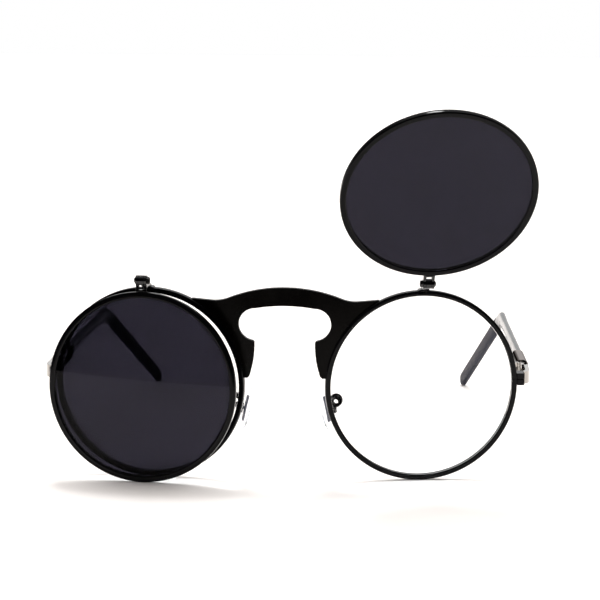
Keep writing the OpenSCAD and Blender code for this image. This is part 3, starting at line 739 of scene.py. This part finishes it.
@dataclass
class FlipLens:
    """One dark lens in its rim, with its hinge on top of the main rim. Sizes are in mm."""

    side: Side  # the side that it is on
    lens_thickness: float = 1.2  # thickness of the dark lens
    rim_depth: float = 1.65  # depth of its rim from front to back
    rim_corner: float = 0.4  # radius of that rim's corners
    foot_width: float = 3.0  # width of the bracket's foot along the main rim
    foot_height: float = 0.35  # how far the foot rises above the rim
    foot_slope: float = 0.5  # how far each end of the foot slopes in
    foot_edge: float = 0.12  # how far the foot's ends rise above the rim
    foot_sunk: float = 0.9  # how deep the foot reaches into the rim
    arm_sunk: float = 0.3  # how deep the arm does
    arm_width: float = 1.35  # width of the arm and the knuckle
    knuckle_r: float = 1.3  # radius of the middle knuckle

    def build(self) -> None:
        """Builds the dark lens, its rim and the hinge."""
        end = self.side.suffix
        lens = Lens(
            STANCE.flip_r - STANCE.flip_w + STANCE.bevel - STANCE.lens_play, self.lens_thickness,
        )
        new_piece(
            f"dark_lens_{end}.ground",
            lambda shape: lens.add_to(shape, STANCE.dark_lens(self.side)),
            SMOKE_RESIN, f"flip_{end}", [f"dark_lens_{end}"],
        )
        rim = Ring(STANCE.flip_r, STANCE.flip_w, self.rim_depth, self.rim_corner)
        new_piece(
            f"flip_rim_{end}.rolled",
            lambda shape: rim.add_to(shape, STANCE.dark_lens(self.side)),
            BAKED_ENAMEL, f"flip_{end}", [f"flip_rim_{end}"],
        )
        new_piece(
            f"flip_bracket_{end}.pressed", self.build_bracket, HINGE_ENAMEL, "frame",
            [f"flip_bracket_{end}"],
        )
        soften(f"flip_yoke_{end}", HINGE_ENAMEL, Edge.PLATED)
        soften(f"flip_screw_{end}", BLACK_NICKEL, Edge.TUMBLED)
        soften(f"flip_nut_{end}", BLACK_NICKEL, Edge.TUMBLED)

    def build_bracket(self, shape: Shape) -> None:
        """Adds the low foot on the rim, the arm that rises forward and the middle knuckle.

        Args:
            shape: The mesh to add to.
        """
        rim, up, ahead = STANCE.rim_r, STANCE.rim_r + STANCE.flip_rise, STANCE.flip_fwd
        place, half = STANCE.rim(self.side), STANCE.rim_d / 2
        foot, low, edge = self.foot_width / 2, rim + self.foot_height, rim + self.foot_edge
        add_prism(
            shape, place @ Matrix.Rotation(math.pi / 2, 4, "X"), [
                (-foot, rim - self.foot_sunk), (foot, rim - self.foot_sunk), (foot, edge),
                (foot - self.foot_slope, low), (self.foot_slope - foot, low), (-foot, edge),
            ], STANCE.rim_d,
        )
        upright = Matrix(((0, 0, 1, 0), (1, 0, 0, 0), (0, 1, 0, 0), (0, 0, 0, 1)))
        # Round the front of the knuckle, from its top to its underside.
        knuckle = [
            (self.knuckle_r * math.cos(math.radians(a)) - ahead,
             self.knuckle_r * math.sin(math.radians(a)) + up)
            for a in range(70, 291, 10)
        ]
        add_prism(
            shape, place @ upright,
            [(half, rim - self.arm_sunk), (half, low), *knuckle, (-half, rim - self.arm_sunk)],
            self.arm_width,
        )
        bmesh.ops.bevel(
            shape, geom=[e for e in shape.edges if e.calc_face_angle(0) > CREASE],
            offset=Edge.PLATED.value * MM, segments=2, affect="EDGES", profile=0.5,
        )


@dataclass
class Temple:
    """One temple: the arm and knuckles of its hinge, the cuff, the bar and the tip.

    Sizes are in mm and degrees; distances along the temple start at the hinge screw.
    """

    side: Side  # the side that it is on
    toe: float = 1.9  # how far it turns in, in the plan
    left_fold: float = 0.4  # how much further the left one is folded in
    rise: float = 2.3  # how far it rises towards the bend
    bend: float = 28.2  # angle of the bend over the ear
    bend_in: float = 14.0  # how far the bend leans in towards the head
    bend_r: float = 12.0  # radius of the bend
    bar_out: float = 1.2  # distance of the bar outside the hinge screw
    bar_len: float = 77.5657  # where the bend starts
    # where the bar leaves the cuff and where it ends in the tip
    bar_ends: tuple[int, int] = (13, 89)
    # where the bar starts to swell and where it is at its thickest
    swell: tuple[float, float] = (64.0, 77.0)
    bar_size: tuple[float, float] = (1.85, 3.8)  # thickness and height of the bar
    # thickness and height of the bar where it is thickest
    bend_size: tuple[float, float] = (2.1, 4.2)
    tip_start: float = 86.0  # where the plastic tip starts
    tip_lip: tuple[float, float] = (0.5, 0.4)  # how long and how deep the rounding of its lip is
    tip_len: float = 62.8281  # length of the straight part after the bend
    tip_size: tuple[float, float] = (2.2, 4.3)  # thickness and height of the tip
    tip_squareness: float = 2.7  # exponent of the tip's cross-section, as for add_sweep()
    bar_squareness: float = 2.3  # the same for the bar

    @property
    def arc(self) -> float:
        """Length of the bend, round its curve."""
        return self.bend_r * math.radians(self.bend)

    def build(self) -> None:
        """Builds the temple and the hinge that it turns on."""
        end = self.side.suffix
        soften(f"hinge_arm_{end}", BRIGHT_NICKEL, Edge.ROUNDED)
        # These three finishes paint shade on the sides that look along X.
        soften(f"hinge_screw_{end}", HINGE_NICKEL, Edge.TUMBLED)
        soften(f"temple_hinge_{end}", HINGE_NICKEL, Edge.TUMBLED)
        soften(f"hinge_box_{end}", DARK_CHROME, Edge.DRAWN)
        new_piece(
            f"temple_bar_{end}.drawn", self.build_bar, POLISHED_ENAMEL, f"temple_{end}",
            [f"temple_bar_{end}"],
        )
        new_piece(
            f"temple_tip_{end}.moulded", self.build_tip, MOULDED_ACETATE, f"temple_{end}",
            [f"temple_tip_{end}"],
        )

    def place(self) -> Matrix:
        """The temple's own frame: it runs along +Y from the hinge screw.

        Returns:
            The frame, in mm.
        """
        at = hinge_place("temple_right_hinge") / MM
        fold = self.toe + (self.left_fold if self.side is Side.LEFT else 0.0)
        return (
            Matrix.Diagonal((self.side.value, 1, 1, 1)) @ Matrix.Translation(at)
            @ Matrix.Rotation(math.radians(fold), 4, "Z")
            @ Matrix.Rotation(math.radians(self.rise), 4, "X")
        )

    def station(self, along: float) -> Matrix:
        """The frame of the temple's centre line at a distance along it.

        Args:
            along: Distance from the hinge screw, round the bend, in mm.

        Returns:
            The frame, with Y along the temple and Z along its height.
        """
        past = min(max(along - self.bar_len, 0.0), self.arc)
        turned = past / self.bend_r
        lean = Matrix.Rotation(math.radians(self.bend_in), 4, "Y")
        drop = (0, self.bend_r * math.sin(turned), -self.bend_r * (1 - math.cos(turned)))
        return (
            self.place()
            @ Matrix.Translation((self.bar_out, min(along, self.bar_len), 0)) @ lean
            @ Matrix.Translation(drop) @ Matrix.Rotation(-turned, 4, "X") @ lean.inverted()
            @ Matrix.Translation((0, max(along - self.bar_len - self.arc, 0.0), 0))
        )

    def add_sweep(
        self, shape: Shape, stops: Sequence[tuple[float, float, float]], squareness: float,
    ) -> None:
        """Adds a closed body along the temple's centre line.

        Args:
            shape: The mesh to add to.
            stops: Distance along the line, thickness and height, stop by stop.
            squareness: Exponent of the cross-section: 2 is an ellipse, more is squarer.
        """
        ring = 48
        loops = []
        for along, thick, high in stops:
            frame_here = self.station(along)
            loop = []
            for k in range(ring):
                c, s = math.cos(2 * math.pi * k / ring), math.sin(2 * math.pi * k / ring)
                x = thick / 2 * math.copysign(abs(c) ** (2 / squareness), c)
                z = high / 2 * math.copysign(abs(s) ** (2 / squareness), s)
                loop.append(shape.verts.new(frame_here @ Vector((x, 0, z)) * MM))
            loops.append(loop)
        add_body(shape, loops)

    def build_bar(self, shape: Shape) -> None:
        """Adds the metal bar: it swells towards the bend and ends inside the tip.

        Args:
            shape: The mesh to add to.
        """
        thick, high = self.bar_size
        wide, tall = self.bend_size
        begin, end = self.bar_ends
        swell_from, swell_to = self.swell
        fine = round(swell_from) + 2
        stops = []
        for along in (*range(begin, fine, 3), *range(fine, end + 1)):
            share = min(max((along - swell_from) / (swell_to - swell_from), 0.0), 1.0)
            grown = share * share * (3 - 2 * share)
            stops.append((along, thick + (wide - thick) * grown, high + (tall - high) * grown))
        self.add_sweep(shape, stops, self.bar_squareness)

    def build_tip(self, shape: Shape) -> None:
        """Adds the plastic tip: it starts behind the bend with a round lip and ends round.

        Args:
            shape: The mesh to add to.
        """
        thick, high = self.tip_size
        long, deep = self.tip_lip
        stops = []
        steps = 6
        for i in range(steps + 1):
            turn = math.pi / 2 * i / steps
            less = deep * (1 - math.sin(turn))
            stops.append((self.tip_start + long * (1 - math.cos(turn)), thick - less, high - less))
        stops += [(self.tip_start + 2 + 4.8 * i, thick, high) for i in range(12)]
        end = self.bar_len + self.arc + self.tip_len
        steps = 8
        for i in range(1, steps + 1):
            # The last loop stays open a little, so that its corners don't fall together.
            turn = math.pi / 2 * min(i / steps, 0.985)
            stops.append((
                end + high / 2 * math.sin(turn), thick * math.cos(turn) ** 0.5,
                high * math.cos(turn),
            ))
        self.add_sweep(shape, stops, self.tip_squareness)


@dataclass
class NosePad:
    """One nose pad on its curled wire arm. Sizes are in mm and degrees."""

    side: Side  # the side that it is on
    pad_length: float = 11.0  # height of the oval pad
    pad_width: float = 6.5  # its width from front to back
    pad_thickness: float = 2.0  # its thickness
    pad_middle: float = -1.75  # where its middle is, from the pad's screw
    pad_taper: float = 0.07  # how much narrower it is at the top than in the middle, as a share
    # how much of the dome the face behind has, and the exponent of its curve
    flatter: tuple[float, float] = (0.86, 0.8)
    # thickness, width and height of the plate inside the pad
    plate: tuple[float, float, float] = (0.7, 1.2, 6.8)
    plate_off: float = 0.35  # how far that plate is from the pad's middle
    # the same sizes of the stub that the screw holds
    stub: tuple[float, float, float] = (1.5, 0.5, 0.5)
    insert_edge: float = 0.12  # radius of the edges of both
    stub_middle: float = -0.45  # where the middle of the stub is
    frontal: float = 12.0  # how far the pad leans in at the top
    splay: float = 12.0  # how far it turns out at the back
    pad_back: float = 3.8  # distance of its screw behind the rim centres
    pad_up: float = -7.0  # height of its screw above the rim centres
    wire_r: float = 0.46  # radius of the wire
    foot_r: tuple[float, float] = (0.62, 0.5)  # radius of the wire's brazed foot, and next to it
    # how far the foot is off the middle of the rim's wire, inwards and back
    foot_off: tuple[float, float] = (0.35, 0.12)
    foot_drop: float = 3.0  # how far the foot is below the rim centres
    foot_lift: tuple[float, float] = (0.5, 0.1)  # how far the wire runs back and up before it bends
    # middle of the curl, from the pad's screw
    curl_at: tuple[float, float, float] = (1.35, -1.4, 2.3)
    curl_r: float = 1.3  # radius of the curl where it starts
    curl_tighter: float = 0.45  # how much tighter it ends
    curl_start: float = 160.0  # angle where it starts
    curl_turn: float = 640.0  # angle that it turns through
    # where the curl starts and how far it drifts: across, back and up
    curl_run: tuple[tuple[float, float], ...] = ((0.0, -0.2), (-0.9, 1.9), (0.45, -1.1))
    tail_off: float = 0.9  # how far from the screw the wire ends

    def place(self) -> Matrix:
        """The pad's own frame on the right side, in metres: its screw along Y, the pad to -X."""
        at = hinge_place("nose_pad_right_rock")
        return (
            Matrix.Translation(at)
            @ Matrix.Rotation(math.radians(-self.splay), 4, "Z")
            @ Matrix.Rotation(math.radians(-self.frontal), 4, "Y")
        )

    def build(self) -> None:
        """Builds the arm, its box and the pad."""
        end = self.side.suffix
        new_piece(
            f"pad_arm_{end}.bent_wire", self.build_arm, DIPPED_ENAMEL, "frame", [f"pad_arm_{end}"],
        )
        soften(f"pad_box_{end}", DIPPED_ENAMEL, Edge.TUMBLED)
        soften(f"pad_screw_{end}", BRIGHT_NICKEL, Edge.TUMBLED)
        new_piece(
            f"pad_insert_{end}.moulded", self.build_insert, GREY_PLASTIC, f"nose_pad_{end}",
            [f"pad_insert_{end}"],
        )
        let_light_through(new_piece(
            f"nose_pad_{end}.moulded", self.build_pad, CLEAR_SILICONE, f"nose_pad_{end}",
            [f"nose_pad_{end}"],
        ))

    def on_pad(self, x: float, y: float, z: float) -> Vector:
        """Takes a point in the pad's own frame, in mm, to this pad's place, in metres."""
        return mirrored([self.place() @ (Vector((x, y, z)) * MM)], self.side)[0]

    def build_insert(self, shape: Shape) -> None:
        """Adds the thin upright plate inside the pad and the stub that the screw holds.

        Args:
            shape: The mesh to add to.
        """
        for size, middle in (
            (self.plate, self.pad_middle + self.plate_off), (self.stub, self.stub_middle),
        ):
            for vert in bmesh.ops.create_cube(shape, size=1.0)["verts"]:
                x, y, z = (c * length for c, length in zip(vert.co, size))
                vert.co = self.on_pad(x + middle, y, z)
        bmesh.ops.bevel(
            shape, geom=shape.edges[:], offset=self.insert_edge * MM, segments=3,
            affect="EDGES", profile=0.5,
        )

    def pad_point(self, out: float, turn: float, face: int) -> Vector:
        """A point of the pad's surface.

        Args:
            out: How far out it is, from the middle of a face (0) to the edge (1).
            turn: Angle round the pad.
            face: -1 for the domed face towards the nose, 1 for the flatter one behind.

        Returns:
            The point, in metres.
        """
        rise = out * math.sin(turn)
        dome = (1 - out ** 2) ** 0.5
        share, power = self.flatter
        half = self.pad_thickness / 2 * (dome if face < 0 else share * dome ** power)
        width = self.pad_width / 2 * out * math.cos(turn) * (1 - self.pad_taper * rise)
        return self.on_pad(self.pad_middle + face * half, width, self.pad_length / 2 * rise)

    def build_pad(self, shape: Shape) -> None:
        """Adds the oval pad: domed towards the nose, flatter behind, narrower at the top.

        Args:
            shape: The mesh to add to.
        """
        around, rings = 48, 9

        def loop(out: float, face: int) -> list[Corner]:
            """Adds the corners of one ring."""
            return [
                shape.verts.new(self.pad_point(out, 2 * math.pi * k / around, face))
                for k in range(around)
            ]

        rim = loop(1.0, 1)
        for face in (-1, 1):
            top = shape.verts.new(self.pad_point(0, 0, face))
            rows = [loop(math.sin(math.pi / 2 * ring / rings), face) for ring in range(1, rings)]
            add_fan(shape, top, rows[0])
            stitch(shape, [*rows, rim])

    def build_arm(self, shape: Shape) -> None:
        """Adds the wire: brazed behind the rim, curled, and down to the pad's box.

        Args:
            shape: The mesh to add to.
        """
        pad = hinge_place("nose_pad_right_rock") / MM
        mid_r = STANCE.rim_r - STANCE.rim_w / 2
        turn = math.radians(STANCE.wrap)
        foot = Vector((
            STANCE.rim_spread / 2 - mid_r * math.cos(turn) + self.foot_off[0],
            pad.y - self.pad_back - mid_r * math.sin(turn) + STANCE.rim_d / 2 + self.foot_off[1],
            pad.z - self.pad_up - self.foot_drop,
        ))
        middle = pad + Vector(self.curl_at)
        steps = 64
        curl = []
        for step in range(steps + 1):
            share = step / steps
            angle = math.radians(self.curl_start - self.curl_turn * share)
            radius = self.curl_r - self.curl_tighter * share
            drift = Vector([start + run * share for start, run in self.curl_run])
            curl.append(middle + drift + radius * Vector((math.cos(angle), 0, math.sin(angle))))
        tail = pad + Vector((self.tail_off, 0, 0))
        lift = Vector((0, *self.foot_lift))
        path = [
            foot, foot + lift, foot.lerp(curl[0], 0.5) + lift / 2, *curl,
            curl[-1].lerp(tail, 0.5), tail,
        ]
        radii = [*self.foot_r, *[self.wire_r] * (len(path) - 2)]
        add_tube(shape, mirrored([p * MM for p in path], self.side), [r * MM for r in radii])


@dataclass
class Studio:
    """White paper, a lamp behind and above, a white surround and the camera.

    Sizes are in mm, angles in degrees unless it says otherwise. A level is a strength of light,
    and a span is where it changes, by how far a direction points back (Y) or aside (X).
    """

    # place of the camera, from the rim centres
    camera_at: tuple[float, float, float] = (28.967, -597.334, 95.03)
    yaw: float = 0.042426  # how far it turns to its left, in radians
    pitch: float = 0.121824  # how far it looks down, in radians
    roll: float = -0.0073  # how far it leans, in radians
    focal_px: float = 2332.411  # its focal length, in pixels of the photograph
    image_px: float = 600.0  # width of the photograph in pixels
    sensor: float = 36.0  # width of the sensor
    # where the paper starts and ends, from front to back, and half its width
    paper: tuple[float, float, float] = (-210.0, 6000.0, 3500.0)
    key_height: float = 69.0  # height of the key lamp above the horizon
    key_turn: float = 8.0  # how far the lamp is turned from straight behind
    key_width: float = 11.0  # angle that the lamp fills, which makes its shadows soft
    key_strength: float = 0.9  # strength of the lamp
    # levels of the light that the surround gives the paper, in front and behind
    fill: tuple[float, float] = (0.0, 3.9)
    fill_span: tuple[float, float] = (-0.7, 1.0)  # span between them
    # colour of that light, as sRGB hex: a little warm, as in the shadows
    fill_tint: str = "#fff8f3"
    # levels that shiny parts mirror, from the dark front and from behind
    room: tuple[float, float] = (0.01, 1.0)
    room_span: tuple[float, float] = (-0.75, 0.1)  # span between them
    # shares of that which dark flags leave, in the middle and at the sides
    flags: tuple[float, float] = (1.0, 0.2)
    flag_span: tuple[float, float] = (0.35, 0.6)  # span between them

    def build(self) -> None:
        """Builds the floor, the lights and the camera."""
        # The photograph is a plain sRGB picture, so no film curve is laid over the light.
        bpy.context.scene.view_settings.view_transform = "Standard"
        self.build_floor()
        self.build_lamp()
        self.build_surround()
        self.build_camera()

    def build_floor(self) -> None:
        """Rolls paper out under the glasses, from just before them to far behind."""
        near, far, half = (length * MM for length in self.paper)
        shape = bmesh.new()
        shape.faces.new([
            shape.verts.new((x, y, 0))
            for x, y in ((-half, near), (half, near), (half, far), (-half, far))
        ])
        mesh = bpy.data.meshes.new("studio_paper")
        shape.to_mesh(mesh)
        shape.free()
        floor = bpy.data.objects.new("studio_paper", mesh)
        bpy.context.scene.collection.objects.link(floor)
        mesh.materials.append(STUDIO_PAPER.material())

    def build_lamp(self) -> None:
        """Hangs the key lamp nearly overhead, a little behind, wide enough for soft shadows."""
        lamp = bpy.data.lights.new("key_lamp", "SUN")
        lamp.energy = self.key_strength
        lamp.angle = math.radians(self.key_width)
        hung = bpy.data.objects.new("key_lamp", lamp)
        hung.rotation_euler = (math.radians(-90 + self.key_height), 0, math.radians(self.key_turn))
        bpy.context.scene.collection.objects.link(hung)

    def build_surround(self) -> None:
        """Surrounds the set with white light, and with a dark room where the camera stands."""
        world = bpy.data.worlds.new("white_surround")
        bpy.context.scene.world = world
        world.use_nodes = True
        tree = world.node_tree
        tree.nodes.clear()
        place = add_node(tree, "ShaderNodeTexCoord")
        way = add_node(tree, "ShaderNodeSeparateXYZ", links={"Vector": place.outputs["Generated"]})
        aside = add_node(tree, "ShaderNodeMath", {"operation": "ABSOLUTE"}, {0: way.outputs["X"]})

        def ramp(source: Socket, span: tuple[float, float], levels: tuple[float, float]) -> Socket:
            """Adds a smooth change between two levels over a span of a direction."""
            return add_node(
                tree, "ShaderNodeMapRange",
                {"interpolation_type": "SMOOTHSTEP", "From Min": span[0], "From Max": span[1],
                 "To Min": levels[0], "To Max": levels[1]}, {"Value": source},
            ).outputs["Result"]

        mirrored_light = add_node(
            tree, "ShaderNodeMath", {"operation": "MULTIPLY"},
            {0: ramp(way.outputs["Y"], self.room_span, self.room),
             1: ramp(aside.outputs["Value"], self.flag_span, self.flags)},
        )
        room = add_node(
            tree, "ShaderNodeBackground", {"Color": linear("#ffffff")},
            {"Strength": mirrored_light.outputs["Value"]},
        )
        soft = add_node(
            tree, "ShaderNodeBackground", {"Color": linear(self.fill_tint)},
            {"Strength": ramp(way.outputs["Y"], self.fill_span, self.fill)},
        )
        white = add_node(
            tree, "ShaderNodeBackground", {"Color": linear("#ffffff"), "Strength": 1.0},
        )
        path = add_node(tree, "ShaderNodeLightPath")
        lit = add_node(
            tree, "ShaderNodeMixShader", links={
                0: path.outputs["Is Diffuse Ray"], 1: room.outputs["Background"],
                2: soft.outputs["Background"],
            },
        )
        through = add_node(
            tree, "ShaderNodeMath", {"operation": "MAXIMUM"},
            {0: path.outputs["Is Camera Ray"], 1: path.outputs["Is Transmission Ray"]},
        )
        seen = add_node(
            tree, "ShaderNodeMixShader", links={
                0: through.outputs["Value"], 1: lit.outputs["Shader"],
                2: white.outputs["Background"],
            },
        )
        add_node(tree, "ShaderNodeOutputWorld", links={"Surface": seen.outputs["Shader"]})

    def build_camera(self) -> None:
        """Sets the camera where the photograph was taken from."""
        turned = (
            Matrix.Rotation(self.yaw, 3, "Z")
            @ Matrix.Rotation(-self.pitch, 3, "X")
            @ Matrix.Rotation(self.roll, 3, "Y")
        )
        right, ahead, up = (turned.col[i] for i in range(3))
        view = Matrix((right, up, -ahead)).transposed().to_4x4()
        data = bpy.data.cameras.new("camera")
        data.sensor_width = self.sensor
        data.lens = self.focal_px * self.sensor / self.image_px
        data.clip_start, data.clip_end = 0.01, 50.0
        camera = bpy.data.objects.new("camera", data)
        at = (Vector(self.camera_at) + Vector((0, STANCE.front_y, STANCE.rim_z))) * MM
        camera.matrix_world = Matrix.Translation(at) @ view
        bpy.context.scene.collection.objects.link(camera)
        bpy.context.scene.camera = camera


def main() -> None:
    """Builds the studio and the glasses, piece by piece."""
    logging.basicConfig(level=logging.INFO, format="%(message)s")
    Studio().build()
    Front().build()
    for side in Side:
        FlipLens(side).build()
        Temple(side).build()
        NosePad(side).build()


if __name__ == "__main__":
    main()
